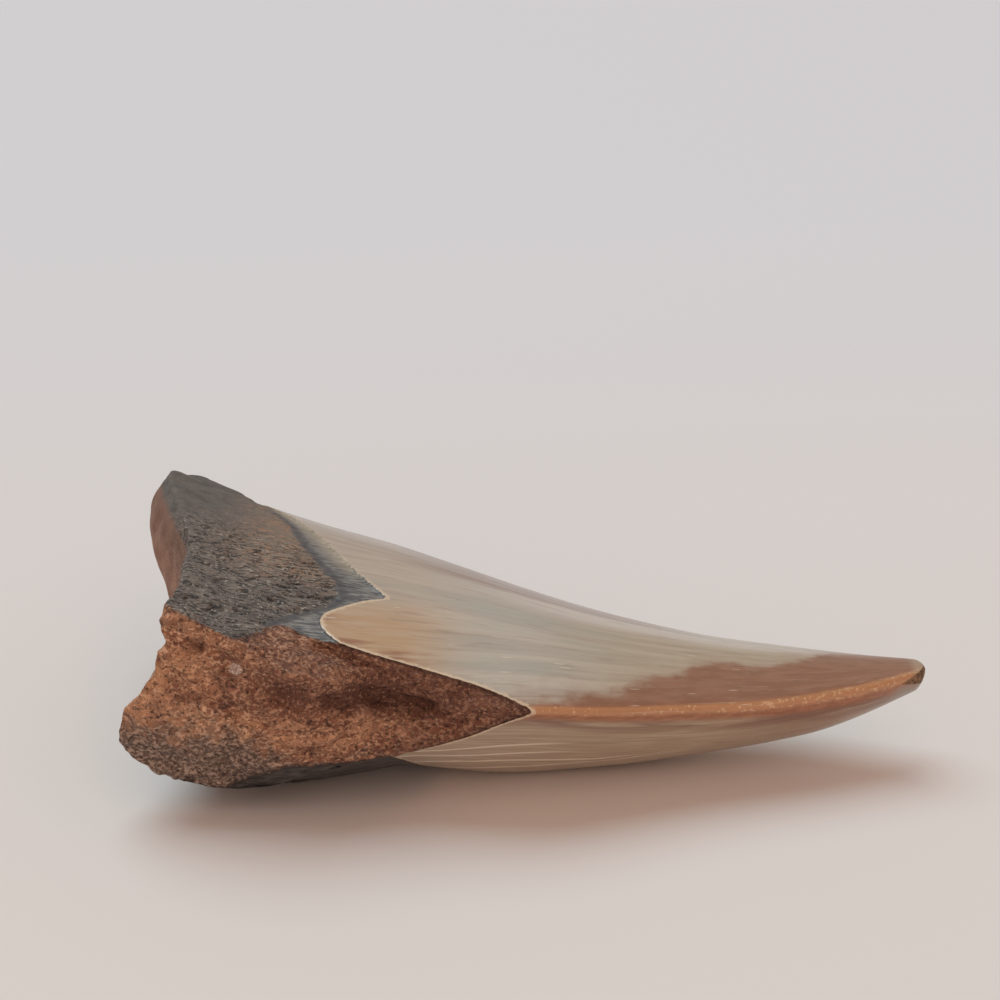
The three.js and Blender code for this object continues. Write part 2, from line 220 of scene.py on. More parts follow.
def crown_columns():
    """Around the section: share of the half width, start on the enamel line, and if it is the lip side."""
    side, near = eased(FACE_COLUMNS, FACE_EVENNESS), eased(BREAK_COLUMNS, BREAK_EVENNESS)
    top_corner, low_corner = RIM_TOP[-1][0], RIM_LOW[-1][0]
    top = 1 - (1 - top_corner) * side[:-1]
    rim_top = -1 + (top_corner + 1) * near[:0:-1]
    rim_low = -1 + (low_corner + 1) * near[:-1]
    low = 1 - (1 - low_corner) * side[:0:-1]
    start = np.concatenate([
        np.where(top > CHEVRON_POINT, through(FAR_ARM, top), through(NEAR_ARM, top)),
        through(RIM_TOP, rim_top), through(RIM_LOW, rim_low), through(LINGUAL_LINE, low),
    ])
    share = np.concatenate([top, rim_top, rim_low, low])
    lip_side = np.arange(len(share)) < FACE_COLUMNS + BREAK_COLUMNS
    return share, start, lip_side


def crown_grid():
    """Rows from the enamel line to the tip: along a column t shrinks and y keeps its share of the width."""
    share, start, lip_side = crown_columns()
    left = (1 - np.arange(CROWN_ROWS) / CROWN_ROWS) ** TIP_CROWDING
    t = left[:, None] * start[None]
    y = share[None] * half_width(t)
    z = np.where(lip_side[None], labial_height(t, y), lingual_height(t, y))
    return np.stack([t, y, z], -1)


crown = crown_grid()
print("crown grid", crown.shape[:2], "points")

# %% [markdown]
# ## The root
#
# The root is a thick plate between the enamel line and its end: a whole side, a notch between two lobes, and
# the break. Each of its faces is spanned between four edge curves, like cloth sewn into a bent frame, and
# the whole faces then take their height from the tooth's two faces.

# %% Outlines of the root
ROOT_SIDE = [(0, 94.5, 37.6), (0.25, 97.5, 41.3), (0.6, 102, 44.6), (0.85, 105.7, 45.2), (1, 107.6, 43)]
ROOT_END_TOP = [
    (0, 107.6, 43), (0.06, 108.4, 38.5), (0.14, 108.2, 34), (0.3, 106, 24.5), (0.48, 103.2, 14),
    (0.59, 101.4, 8), (0.73, 101, 0), (0.88, 100.6, -9), (1, 101.2, -15.2),
]
ROOT_END_LOW = [
    (0, 107.6, 43), (0.08, 108, 39), (0.25, 107.5, 29), (0.45, 105, 16), (0.63, 103, 5), (0.82, 103, -6),
    (1, 104, -16.5),
]
BREAK_TOP = [
    (0, 79, -15), (0.18, 83.4, -14.4), (0.36, 87.3, -13.4), (0.45, 89.6, -16.5), (0.52, 91, -18.3),
    (0.7, 94.5, -18), (0.85, 97.7, -16.6), (1, 101.2, -15.2),
]
BREAK_LOW = [(0, 73, -17.2), (0.25, 80, -17.3), (0.5, 87, -17), (0.75, 95, -17), (1, 104, -16.5)]
BREAK_END = [
    (0, 101.2, -15.2, 31), (0.1, 101.5, -16.3, 28.6), (0.17, 101.1, -16.8, 27), (0.28, 102, -17.2, 24.5),
    (0.33, 102.3, -17.4, 23.2), (0.43, 104, -17.5, 20.7), (0.5, 104.4, -17.5, 19.2),
    (0.58, 106.3, -17.5, 17.6), (0.66, 107.4, -17.3, 15.4), (0.75, 107.6, -17.1, 13.2),
    (0.87, 106.8, -16.8, 10.6), (1, 104, -16.5, 9),
]
ROOT_SWELL = {"t": 88, "y": 9.5, "length": 10, "width": 7, "height": 2.2}
ROOT_GROOVE = {"y": 1.5, "width": 1.8, "depth": 1.1}
ROOT_PIT = {"t": 92, "radius": 1.6, "depth": 1.3}
LOBE_THICKENING = 4
SIDE_RADIUS = 5.5
TOP_EDGE_RADIUS = 1.3
LOW_EDGE_RADIUS = 4
LEAST_RADIUS = 0.01
LOBE_BULGE = 2.3
NOTCH_BULGE = 0.6
BULGE_ROUNDNESS = 0.8
ENAMEL_STEP = 0.3
ROW_EVENNESS = 0.7
END_ROUND_LOSS = 0.8
# Where each form comes or goes: t in millimetres, shares of the way down the root or across it, y of the end
GROOVE_STARTS = (92, 98)
DOWN = {
    "step starts": (0, 0.02), "step ends": (0.15, 0.4), "lobe": (0, 0.6), "underside": (0, 0.1),
    "side round": (0, 0.4), "hollows start": (0, 0.06), "hollows end": (0.93, 1),
}
ACROSS_ROOT = {"lobe": (0.35, 1), "end round starts": (0, 0.12), "end round fades": (0.8, 1)}
END_WALL = {"break ends": (-16, -2), "lobe starts": (10, 28), "lobe ends": (34, 42.5)}


# %% Spanning a face between four edges
def outline(points, shares):
    """Points of an outline [share, t, y, ...] at the given shares of its way."""
    return np.stack([through(points, shares, k) for k in range(1, len(points[0]))], -1)


def spanned(start, end, first, last, u, r):
    """Coons patch, rows of r by columns of u: both pairs of edges blended, less the four corners."""
    u, r = u[None, :, None], r[:, None, None]
    between_ends = (1 - r) * start[None] + r * end[None]
    between_sides = (1 - u) * first[:, None] + u * last[:, None]
    corners = (1 - r) * ((1 - u) * start[0] + u * start[-1]) + r * ((1 - u) * end[0] + u * end[-1])
    return between_ends + between_sides - corners


def root_underside(t, y):
    """What the underside has besides its keel: swelling down, groove and nutrient pit up."""
    swell = ROOT_SWELL["height"] * hill(
        t - ROOT_SWELL["t"], y - ROOT_SWELL["y"], ROOT_SWELL["length"], ROOT_SWELL["width"])
    across = y - ROOT_GROOVE["y"]
    groove = ROOT_GROOVE["depth"] * np.exp(-((across / ROOT_GROOVE["width"]) ** 2)) * ramp(t, *GROOVE_STARTS)
    pit = ROOT_PIT["depth"] * hill(t - ROOT_PIT["t"], across, ROOT_PIT["radius"], ROOT_PIT["radius"])
    return groove + pit - swell


def root_faces(enamel_line, u, r):
    """Lip-side and tongue-side face of the root, from the whole side (u 0) to the break (u 1)."""
    corner, low_corner = len(u) - 1, len(enamel_line) - len(u)
    side = outline(ROOT_SIDE, r)
    top = spanned(enamel_line[:corner + 1, :2], outline(ROOT_END_TOP, u), side, outline(BREAK_TOP, r), u, r)
    low = spanned(
        enamel_line[low_corner:][::-1][:, :2], outline(ROOT_END_LOW, u), side, outline(BREAK_LOW, r), u, r)
    row = r[:, None]
    top_z = labial_height(top[..., 0], top[..., 1])
    top_z = top_z - ENAMEL_STEP * ramp(row, *DOWN["step starts"]) * (1 - ramp(row, *DOWN["step ends"]))
    outwards = ramp(low[..., 1] / through(HALF_WIDTH, low[..., 0]), *ACROSS_ROOT["lobe"])
    lobe = LOBE_THICKENING * ramp(row, *DOWN["lobe"]) * outwards
    low_z = lingual_height(low[..., 0], low[..., 1]) - lobe
    low_z = low_z + root_underside(low[..., 0], low[..., 1]) * ramp(row, *DOWN["underside"])
    return np.dstack([top, top_z]), np.dstack([low, low_z])


def round_root(top, low, u, r):
    """Quarter rounds: both faces meet half way along the whole side, and bend over at the root's end."""
    middle_z = (top[:, :1, 2] + low[:, :1, 2]) / 2
    side_radius = SIDE_RADIUS * ramp(r, *DOWN["side round"])[:, None] + LEAST_RADIUS
    fades = 1 - END_ROUND_LOSS * ramp(u, *ACROSS_ROOT["end round fades"])
    reach = ramp(u, *ACROSS_ROOT["end round starts"]) * fades
    for face, radius, inwards in ((top, TOP_EDGE_RADIUS, -1), (low, LOW_EDGE_RADIUS, 1)):
        from_side = np.linalg.norm(face[..., :2] - face[:, :1, :2], axis=-1)
        from_end = np.linalg.norm(face[..., :2] - face[-1:, :, :2], axis=-1)
        face[..., 2] = middle_z + (face[..., 2] - middle_z) * quarter_round(from_side, side_radius)
        face[..., 2] += inwards * radius * (1 - quarter_round(from_end, radius)) * reach[None]


def root_end(top_edge, low_edge, near_edge):
    """End wall from the far lobe's tip to the break: straight from edge to edge, then bulged along t."""
    down = np.linspace(0, 1, len(near_edge))
    y = (top_edge[:, 1] + low_edge[:, 1]) / 2
    nearness = 1 - ramp(y, *END_WALL["break ends"])
    before_end = 1 - ramp(y, *END_WALL["lobe ends"])
    far_lobe = LOBE_BULGE * ramp(y, *END_WALL["lobe starts"]) * before_end
    notch = NOTCH_BULGE * (1 - nearness) * before_end
    wall = (1 - down)[None, :, None] * top_edge[:, None] + down[None, :, None] * low_edge[:, None]
    near_chord = (1 - down)[:, None] * near_edge[0] + down[:, None] * near_edge[-1]
    wall = wall + nearness[:, None, None] * (near_edge - near_chord)[None]
    wall[..., 0] += (far_lobe + notch)[:, None] * np.sin(np.pi * down)[None] ** BULGE_ROUNDNESS
    return wall


# %% Relief of the break
HOLLOWS = [
    (73.5, 18.6, 9, 2, 2.1), (88, 21.6, 3, 1.8, 1.1), (97, 26, 3.6, 1.6, 1.4), (84, 23.6, 6, 1.3, -0.7),
    (99, 14, 6, 4, -0.9), (94, 19, 2.4, 1.6, 0.6), (90, 13, 3.5, 1.4, 0.5), (103, 22.5, 1.5, 1.5, 0.6),
]
HOLLOW_SLOPE = 0.15
LUMP_HEIGHT = 0.45
LUMP_SIZE = 3.4


def lumps(a, b, size):
    """Uneven rounded lumps of height 1: a sine along a times a cosine along b, each bent by the other."""
    p, q = a / size, b / size
    return np.sin(p + 1.7 * np.sin(0.9 * q + 0.4)) * np.cos(q - 1.3 * np.sin(0.8 * p + 1.1))


def break_depth(t, z):
    """How far the break lies inside its smooth surface: the sum of its sloping hollows, less its lumps."""
    hollow = sum(
        depth * hill(t - t0, z - z0 - HOLLOW_SLOPE * (t - t0), length, height)
        for t0, z0, length, height, depth in HOLLOWS)
    return hollow - LUMP_HEIGHT * lumps(t, z, LUMP_SIZE / 2)


# %% Root, break and end wall
def doubled(loop):
    """A closed loop with a point added in the middle of each step, so that the root is twice as fine."""
    middles = (loop + np.roll(loop, -1, axis=0)) / 2
    return np.stack([loop, middles], 1).reshape(-1, 3)


def root_grids():
    """Rows of closed loops down the root, the end wall's grid, and the broken face's own grid."""
    loop = doubled(crown[0])
    line = np.concatenate([loop, loop[:1]])
    u = eased(2 * FACE_COLUMNS, ROOT_EVENNESS)
    a = np.arange(ROOT_ROWS + 1) / ROOT_ROWS
    r = ROW_EVENNESS * a + (1 - ROW_EVENNESS) * ramp(a, 0, 1)
    top, low = root_faces(line, u, r)
    round_root(top, low, u, r)
    across = np.linspace(0, 1, 4 * BREAK_COLUMNS + 1)
    near_edge = outline(BREAK_END, across)
    near_edge[0], near_edge[-1] = top[-1, -1], low[-1, -1]
    rims = line[2 * FACE_COLUMNS:2 * FACE_COLUMNS + 4 * BREAK_COLUMNS + 1]
    broken = spanned(rims, near_edge, top[:, -1], low[:, -1], across, r)
    between_ends = ramp(r, *DOWN["hollows start"]) * (1 - ramp(r, *DOWN["hollows end"]))
    inside = np.sqrt(np.sin(np.pi * across))[None] * between_ends[:, None]
    broken[..., 1] += break_depth(broken[..., 0], broken[..., 2]) * inside
    rows = np.concatenate([top[:, :-1], broken[:, :-1], low[:, :0:-1]], 1)
    return rows, root_end(top[-1], low[-1], near_edge), broken


root, end_wall, broken = root_grids()
print("root grid", root.shape[:2], "end wall", end_wall.shape[:2])

# %% [markdown]
# ## One closed mesh
#
# Crown, root and end wall are separate grids. They could be welded after the fact, but a weld can leave
# cracks or fold small faces. Here the grids share the points of their borders, so the mesh is closed from
# the start.


# %% Sew the grids together
def halves(a, b, c, d):
    """Two triangles for every four-sided cell with corners a, b, c, d in turn."""
    return [np.stack([a, b, c], -1).reshape(-1, 3), np.stack([a, c, d], -1).reshape(-1, 3)]


def sewn():
    """All points and triangles, grid by grid: crown, tip, root and end wall."""
    around = crown.shape[1]
    tip = np.array([[0.0, 0.0, float(through(EDGE_HEIGHT, 0))]])
    pieces = [crown.reshape(-1, 3), tip, root[1:].reshape(-1, 3), end_wall[1:-1, 1:-1].reshape(-1, 3)]
    first = np.cumsum([0] + [len(piece) for piece in pieces])
    crown_id = np.arange(first[1]).reshape(crown.shape[:2])
    root_id = first[2] + np.arange(len(pieces[2])).reshape(ROOT_ROWS, -1)
    crown_next, root_next = np.roll(crown_id, -1, 1), np.roll(root_id, -1, 1)
    faces = halves(crown_id[:-1], crown_next[:-1], crown_next[1:], crown_id[1:])
    faces.append(np.stack([crown_id[-1], crown_next[-1], np.full(around, first[1])], -1))
    even, odd, after = root_id[0, 0::2], root_id[0, 1::2], np.roll(root_id[0, 0::2], -1)
    here, there = crown_id[0], crown_next[0]
    faces += [np.stack(t, -1) for t in ((here, odd, there), (here, even, odd), (there, odd, after))]
    faces += halves(root_id[:-1], root_id[1:], root_next[1:], root_next[:-1])
    border, steps, last = root_id[-1], end_wall.shape[1] - 1, end_wall.shape[0] - 1
    wall = np.empty(end_wall.shape[:2], int)
    wall[1:-1, 1:-1] = first[3] + np.arange(len(pieces[3])).reshape(last - 1, steps - 1)
    wall[last] = border[last:last + steps + 1]
    wall[:, 0] = border[:last + 1]
    wall[:, steps] = np.concatenate([border[:1], border[:last + steps - 1:-1]])
    wall[0] = border[0]
    cells = halves(wall[:-1, :-1], wall[:-1, 1:], wall[1:, 1:], wall[1:, :-1])
    faces += [cells[0][steps:], cells[1]]
    return np.concatenate(pieces), np.concatenate(faces)


points, faces = sewn()
print(len(points), "points,", len(faces), "triangles")

# %% [markdown]
# ## Distances along the skin
#
# What a place on the tooth looks like depends on how far it is from a border: the enamel line, the rim of
# the break, the cutting edge. Painted masks could hold that, but they blur and stretch. Here each point
# carries its distances as attributes, in millimetres, and the material turns them into zones and feathered
# borders. The distances are measured along the grid's rows and columns.

# %% Distances along the skin
NEAR_EDGE = FACE_COLUMNS + BREAK_COLUMNS
BAND_TOP = [
    (-13, 88.5), (-10.9, 86.9), (-8.2, 84.6), (-5.9, 82.1), (-3.2, 80.6), (-0.4, 80.3), (3.7, 81.2),
    (6.4, 82.5), (12.3, 85), (16.9, 86.9), (28.2, 90.1), (40, 97),
]
BAND_LOW = [(-17, 89), (-8, 82), (0, 79), (10, 82), (24, 90), (40, 99)]
SKIN_OVER_BREAK = [(71, 2.6), (79, 4.8), (86, 5.4), (90, 4.2), (95, 1.2), (99, 0), (112, 0)]
RED_ZONE = [
    (0, 1.6), (8, 0.97), (13, 0.5), (17, 0.05), (24, -0.26), (31, -0.3), (34.6, -0.55), (40, -0.7),
    (45, -0.86), (50, -0.92), (60, -0.97), (110, -1.1),
]
FOLDS = [
    [(49, -0.75), (54.5, -0.725), (60.5, -0.686), (65.7, -0.634), (73, -0.585)],
    [(47, -0.67), (52.4, -0.65), (59, -0.617), (65.3, -0.571), (73, -0.535)],
    [(28, -0.575), (34, -0.569), (43.5, -0.552), (61, -0.535), (69.7, -0.45), (73, -0.42)],
    [(36, -0.56), (41, -0.543), (47.4, -0.507), (53.9, -0.466), (59, -0.44), (66.5, -0.339), (73, -0.3)],
]
FOLD_FADES = (0.07, 0.1)
NO_FOLD = len(FOLDS) - 0.5
LEAST_SLANT = 0.25
# Distances for places that are far from a border
FAR_OFF = 30
NO_EDGE = 40
NO_RED = 20
IN_ENAMEL = 9
BREAK_WRAPS = 3
WALL_STARTS = (0, 8)
WALL_MARGIN = (0.5, 2)
FAN_HALF_WIDTH = 20


def way(grid, axis):
    """Length of the way from a grid's first point to each other one: its steps along an axis, summed up."""
    step = np.linalg.norm(np.diff(grid, axis=axis), axis=-1)
    return np.insert(np.cumsum(step, axis), 0, 0, axis)


def slant(grid):
    """Sine of the angle between each column and the first row: it turns a way into a straight distance."""
    along = np.roll(grid[0], -1, 0) - np.roll(grid[0], 1, 0)
    away = grid[1] - grid[0]
    lengths = np.linalg.norm(along, axis=-1) * np.linalg.norm(away, axis=-1)
    return np.maximum(np.linalg.norm(np.cross(along, away), axis=-1) / lengths, LEAST_SLANT)


def joined(on_crown, on_tip, on_root, on_wall):
    """One value for each point, in the order in which the grids are sewn together; a number fills a grid."""
    given = ((on_crown, crown), (on_root, root), (on_wall, end_wall))
    on_crown, on_root, on_wall = (np.broadcast_to(values, grid.shape[:2]) for values, grid in given)
    return np.concatenate([on_crown.ravel(), [on_tip], on_root[1:].ravel(), on_wall[1:-1, 1:-1].ravel()])


def crown_distances():
    """On the crown: distance to enamel line, near edge and red zone, and a count of the folds passed."""
    t = crown[..., 0]
    share = share_across(t, crown[..., 1])
    line = way(crown, 0) * slant(crown)[None]
    around = way(crown, 1)
    edge = around[:, NEAR_EDGE:NEAR_EDGE + 1] - around
    red = (through(RED_ZONE, t) - share) * half_width(t)
    folds = [through(stations, t) for stations in FOLDS]
    count = np.clip((share - folds[0]) / FOLD_FADES[0], -0.5, 0)
    count += np.clip((share - folds[-1]) / FOLD_FADES[1], 0, 0.5)
    for here, there in zip(folds, folds[1:]):
        count += np.clip((share - here) / (there - here), 0, 1)
    count[:, :NEAR_EDGE] = np.where(share[:, :NEAR_EDGE] < 0, -0.5, NO_FOLD)
    return line, edge, red, count


def root_distances():
    """Distances on the root: to the enamel line, into the break from its rims, into the dark band."""
    first, last = 2 * FACE_COLUMNS, 2 * FACE_COLUMNS + 4 * BREAK_COLUMNS
    line = -way(root, 0) * slant(root)[None]
    around = way(root, 1)
    t, y = root[..., 0], root[..., 1]
    above_skin = around[:, last:last + 1] - around - through(SKIN_OVER_BREAK, t)
    rim = np.minimum(around - around[:, first:first + 1], above_skin)
    lip_side = np.arange(root.shape[1]) < NEAR_EDGE * 2
    return line, rim, np.where(lip_side, through(BAND_TOP, y), through(BAND_LOW, y)) - t


line_c, edge_c, red_c, fold_c = crown_distances()
line_r, rim_r, band_r = root_distances()
wall_way = way(end_wall[::-1], 0)[::-1]
wall_down = way(end_wall, 1)
from_faces = np.minimum(wall_down, wall_down[:, -1:] - wall_down)
marks = {
    "line": joined(line_c, line_c.max(), line_r, -FAR_OFF),
    "rim": joined(rim_r[0, ::2], -FAR_OFF, rim_r, BREAK_WRAPS - wall_way),
    "edge": joined(edge_c, 0, NO_EDGE, NO_EDGE),
    "red": joined(red_c, NO_RED, -NO_RED, -NO_RED),
    "fold": joined(fold_c, NO_FOLD, NO_FOLD, NO_FOLD),
    "band": joined(IN_ENAMEL, IN_ENAMEL, band_r, -FAR_OFF),
    "wall": joined(0, 0, 0, ramp(wall_way, *WALL_STARTS) * ramp(from_faces, *WALL_MARGIN)),
}
share = share_across(points[:, 0], points[:, 1])
above_edge = points[:, 2] - through(EDGE_HEIGHT, points[:, 0])
fan = np.stack([points[:, 0], FAN_HALF_WIDTH * share, above_edge], -1)
print({name: (round(float(v.min()), 1), round(float(v.max()), 1)) for name, v in marks.items()})

# %% [markdown]
# ## Grain, pits and chips
#
# Fossil bone is full of fine canals that run lengthwise; where it broke, it is as rough as sandstone. A
# picture of bumps could be used, or a sculpt. Here smooth random heights are added at several sizes, each
# only where its layer is, and moved along the surface's own normal, so that the outline is rough as well.

# %% Fine relief
# Height in millimetres, size of its cells along t, y and z, and seed
RELIEF = {
    "pebbles": (0.42, (2.1, 1.6, 1.4), 1), "crumbs": (0.27, (0.9, 0.8, 0.75), 2),
    "fibres": (0.3, (6, 1.2, 0.9), 3), "canals": (1, (3.4, 0.8, 0.9), 4),
    "bone": (0.24, (4.5, 3.2, 3.2), 5), "fine bone": (0.12, (1.3, 0.7, 0.7), 6),
    "wrinkles": (0.16, (5, 0.8, 0.9), 7), "waves": (0.22, (4, 3, 3), 8),
}
CANAL_DEPTH = 0.6
CANAL_LEVELS = (0.15, 0.7)
WORN_Y = (6, 24)
WORN_LOSS = 0.8
FIBRES_END = (80, 98)
INTO_BREAK = (0.1, 1.2)
INTO_ROOT = (0.5, 3)
BEFORE_RIM = (-0.6, 0)
INTO_BAND = (-1, 1)
LATTICE_KEYS = (73856093, 19349663, 83492791)
LATTICE_VALUES = 4096


def random_heights(place, size, seed):
    """Heights from -1 to 1: random values on a lattice with cells of the given size, blended in between."""
    place = place / np.array(size)
    cell = np.floor(place).astype(np.int64)
    s = place - cell
    s = s * s * (3 - 2 * s)
    table = np.random.default_rng(seed).uniform(-1, 1, LATTICE_VALUES)
    total = np.zeros(len(place))
    for corner in itertools.product((0, 1), repeat=3):
        key = ((cell + corner) * LATTICE_KEYS).sum(-1) % LATTICE_VALUES
        total += table[key] * np.where(corner, s, 1 - s).prod(-1)
    return total


def normals_of(points, faces):
    """Unit normal of each point: the sum of its triangles' cross products, brought to length 1."""
    a, b, c = (points[faces[:, k]] for k in range(3))
    cross = np.cross(b - a, c - a)
    shares = np.repeat(cross, 3, axis=0)
    total = np.stack([np.bincount(faces.ravel(), shares[:, k], len(points)) for k in range(3)], -1)
    return total / np.linalg.norm(total, axis=-1, keepdims=True)


def relief(place, marks):
    """Height to add: pebbles and fibres on the break, canals on the root, wrinkles on the band."""
    kinds = {
        kind: height * random_heights(place, size, seed)
        for kind, (height, size, seed) in RELIEF.items()}
    broken = ramp(np.minimum(marks["rim"], -marks["line"]), *INTO_BREAK)
    root_skin = ramp(-marks["line"], *INTO_ROOT) * (1 - ramp(marks["rim"], *BEFORE_RIM))
    root_skin *= 1 - marks["wall"]
    band = ramp(marks["band"], *INTO_BAND)
    worn = 1 - WORN_LOSS * ramp(place[:, 1], *WORN_Y)
    fibres = kinds["fibres"] * (1 - ramp(place[:, 0], *FIBRES_END))
    bone = kinds["bone"] + worn * (kinds["fine bone"] - CANAL_DEPTH * ramp(kinds["canals"], *CANAL_LEVELS))
    height = broken * (kinds["pebbles"] + kinds["crumbs"] + fibres)
    height += root_skin * ((1 - band) * bone + band * kinds["wrinkles"])
    return height + marks["wall"] * kinds["waves"]


# %% Place, roughen and chip the tooth
CHIP_PLACE = (0.5, -1.9, 14.2)
CHIP_DIRECTION = (-0.62, -0.72, -0.3)
CHIP_REACH = 8
CHIP_HALF_WIDTH = 1.5
CHIP_LENGTH = 3.8
CHIP_EDGE = -0.4
NO_CHIP = -5

points[:, 2] = np.maximum(points[:, 2], 0)
outwards = normals_of(points * (-1, 1, 1), faces)
outwards[:, 0] *= -1
height = relief(points, marks)
points += outwards * height[:, None]
inside = np.clip(np.minimum(marks["rim"], -marks["line"]), 0, 1)
marks["depth"] = (break_depth(points[:, 0], points[:, 2]) - height) * inside
chip_normal = np.array(CHIP_DIRECTION) / np.linalg.norm(CHIP_DIRECTION)
beyond = (points - CHIP_PLACE) @ chip_normal
chipped = np.where(points[:, 0] < CHIP_REACH, np.maximum(beyond, 0), 0)
points -= chipped[:, None] * chip_normal
t, y, z = points.T
into_chip = CHIP_HALF_WIDTH * (1 - t / CHIP_LENGTH) - np.abs(marks["edge"] - CHIP_EDGE)
marks["chip"] = np.where(t < CHIP_REACH, into_chip, NO_CHIP)
placed = np.stack([TIP_X - t, y + CROWN_AXIS_Y, np.maximum(z - FLOOR_Z, 0)], -1)
a, b, c = (placed[faces[:, k]] for k in range(3))
print("volume", round(float((np.cross(a, b) * c).sum() / 6 / 1000), 1), "cubic centimetres")


# %% The tooth as an object
def tooth_object():
    """Mesh object in metres with every mark as a point attribute."""
    mesh = bpy.data.meshes.new("tooth")
    mesh.from_pydata((placed / 1000).tolist(), [], faces.tolist())
    for name, values in marks.items():
        mesh.attributes.new(name, "FLOAT", "POINT").data.foreach_set("value", values.astype(np.float32))
    in_fan = mesh.attributes.new("fan", "FLOAT_VECTOR", "POINT")
    in_fan.data.foreach_set("vector", fan.astype(np.float32).ravel())
    mesh.shade_smooth()
    made = bpy.data.objects.new("tooth", mesh)
    bpy.context.scene.collection.objects.link(made)
    return made


tooth = tooth_object()
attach(tooth, "root")
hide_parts(NODE)
print("mesh has", len(tooth.data.polygons), "triangles, problems found:", tooth.data.validate())

# %% [markdown]
# ## Building blocks for the surfaces
#
# Every layer is mixed from the same few effects: grain drawn out along the tooth, a border that wanders a
# little, and separate specks. They could be drawn by hand in the node editor, again for each layer. Here
# each is a node group with named inputs, built once, so that one material can use it at several sizes, and
# it gives back a plain value.


# %% Node helpers
def shade(red, green, blue):
    """Colour as a screen shows it, 0 to 255 each, turned into the linear value that light is worked with."""
    return tuple(((v / 255 + 0.055) / 1.055) ** 2.4 for v in (red, green, blue)) + (1,)


def feed(tree, node, inputs):
    """Gives each input of a node a plain value or another node's output."""
    for key, value in inputs.items():
        if isinstance(value, bpy.types.NodeSocket):
            tree.links.new(value, node.inputs[key])
        else:
            node.inputs[key].default_value = value


def add(tree, kind, inputs=None, **settings):
    """A shader node with its settings and inputs."""
    made = tree.nodes.new("ShaderNode" + kind)
    for name, value in settings.items():
        setattr(made, name, value)
    feed(tree, made, inputs or {})
    return made


def maths(tree, operation, a, b=0.0):
    """One operation on one or two values."""
    return add(tree, "Math", {0: a, 1: b}, operation=operation).outputs[0]


def times(tree, first, *others):
    """Product of two or more values."""
    for other in others:
        first = maths(tree, "MULTIPLY", first, other)
    return first


def stacked(tree, *layers):
    """Sum of amounts, each times its height in millimetres."""
    total = 0.0
    for amount, height in layers:
        total = maths(tree, "ADD", times(tree, amount, height), total)
    return total


def blended(tree, factor, a, b):
    """Value a where factor is 0, value b where it is 1."""
    return add(tree, "Mix", {0: factor, 2: a, 3: b}).outputs[0]


def mixed(tree, factor, a, b):
    """Colour a where factor is 0, colour b where it is 1."""
    return add(tree, "Mix", {0: factor, 6: a, 7: b}, data_type="RGBA").outputs[2]


def eased_step(tree, value, low, high, start=0, end=1):
    """Smooth step from start to end while the value goes from low to high."""
    inputs = {0: value, 1: low, 2: high, 3: start, 4: end}
    return add(tree, "MapRange", inputs, interpolation_type="SMOOTHSTEP").outputs[0]


def parts(tree, vector):
    """The three numbers of a vector."""
    return add(tree, "SeparateXYZ", {0: vector}).outputs


def mark(tree, name):
    """A distance that the mesh carries."""
    return add(tree, "Attribute", attribute_name=name).outputs["Fac"]


def bone_place(tree):
    """Place in millimetres, from the object's own coordinates."""
    local = add(tree, "TexCoord").outputs["Object"]
    return add(tree, "VectorMath", {0: local, 1: (1000, 1000, 1000)}, operation="MULTIPLY").outputs[0]


def new_group(name, inputs, outputs):
    """An empty node group with named sockets; gives its tree, its input node and its output node."""
    tree = bpy.data.node_groups.new(name, "ShaderNodeTree")
    for direction, sockets in (("INPUT", inputs), ("OUTPUT", outputs)):
        for label, kind in sockets.items():
            tree.interface.new_socket(label, in_out=direction, socket_type="NodeSocket" + kind)
    return tree, tree.nodes.new("NodeGroupInput"), tree.nodes.new("NodeGroupOutput")


def use(tree, group, inputs=None):
    """A node group placed in a tree; gives its outputs."""
    made = tree.nodes.new("ShaderNodeGroup")
    made.node_tree = group
    feed(tree, made, inputs or {})
    return made.outputs


# %% Shared effects
NOISE_DETAIL = 3.0
NOISE_ROUGHNESS = 0.6
SPECK_SOFTNESS = 0.6


def grain_group():
    """Noise drawn out along the tooth: Size is the width of a grain, Stretch how much longer it is."""
    tree, given, end = new_group(
        "lengthwise grain",
        {"Place": "Vector", "Size": "Float", "Stretch": "Float", "Low": "Float", "High": "Float"},
        {"Amount": "Float"})
    place, size, stretch, low, high = list(given.outputs)[:5]
    x, y, z = parts(tree, place)
    squeezed = add(tree, "CombineXYZ", {0: maths(tree, "DIVIDE", x, stretch), 1: y, 2: z}).outputs[0]
    scale = maths(tree, "DIVIDE", 1.0, size)
    noise = add(tree, "TexNoise", {
        "Vector": squeezed, "Scale": scale, "Detail": NOISE_DETAIL, "Roughness": NOISE_ROUGHNESS})
    feed(tree, end, {"Amount": eased_step(tree, noise.outputs[0], low, high)})
    return tree


def border_group():
    """A border at distance 0: a smooth step over Width, pushed to and fro by Wander with noise of a Size."""
    tree, given, end = new_group(
        "wandering border",
        {"Distance": "Float", "Width": "Float", "Wander": "Float", "Place": "Vector", "Size": "Float"},
        {"Inside": "Float"})
    distance, width, wander, place, size = list(given.outputs)[:5]
    scale = maths(tree, "DIVIDE", 1.0, size)
    noise = add(tree, "TexNoise", {"Vector": place, "Scale": scale, "Detail": NOISE_DETAIL})
    push = times(tree, maths(tree, "SUBTRACT", noise.outputs[0], 0.5), wander, 2.0)
    pushed = maths(tree, "ADD", distance, push)
    half = times(tree, width, 0.5)
    feed(tree, end, {"Inside": eased_step(tree, pushed, times(tree, half, -1.0), half)})
    return tree


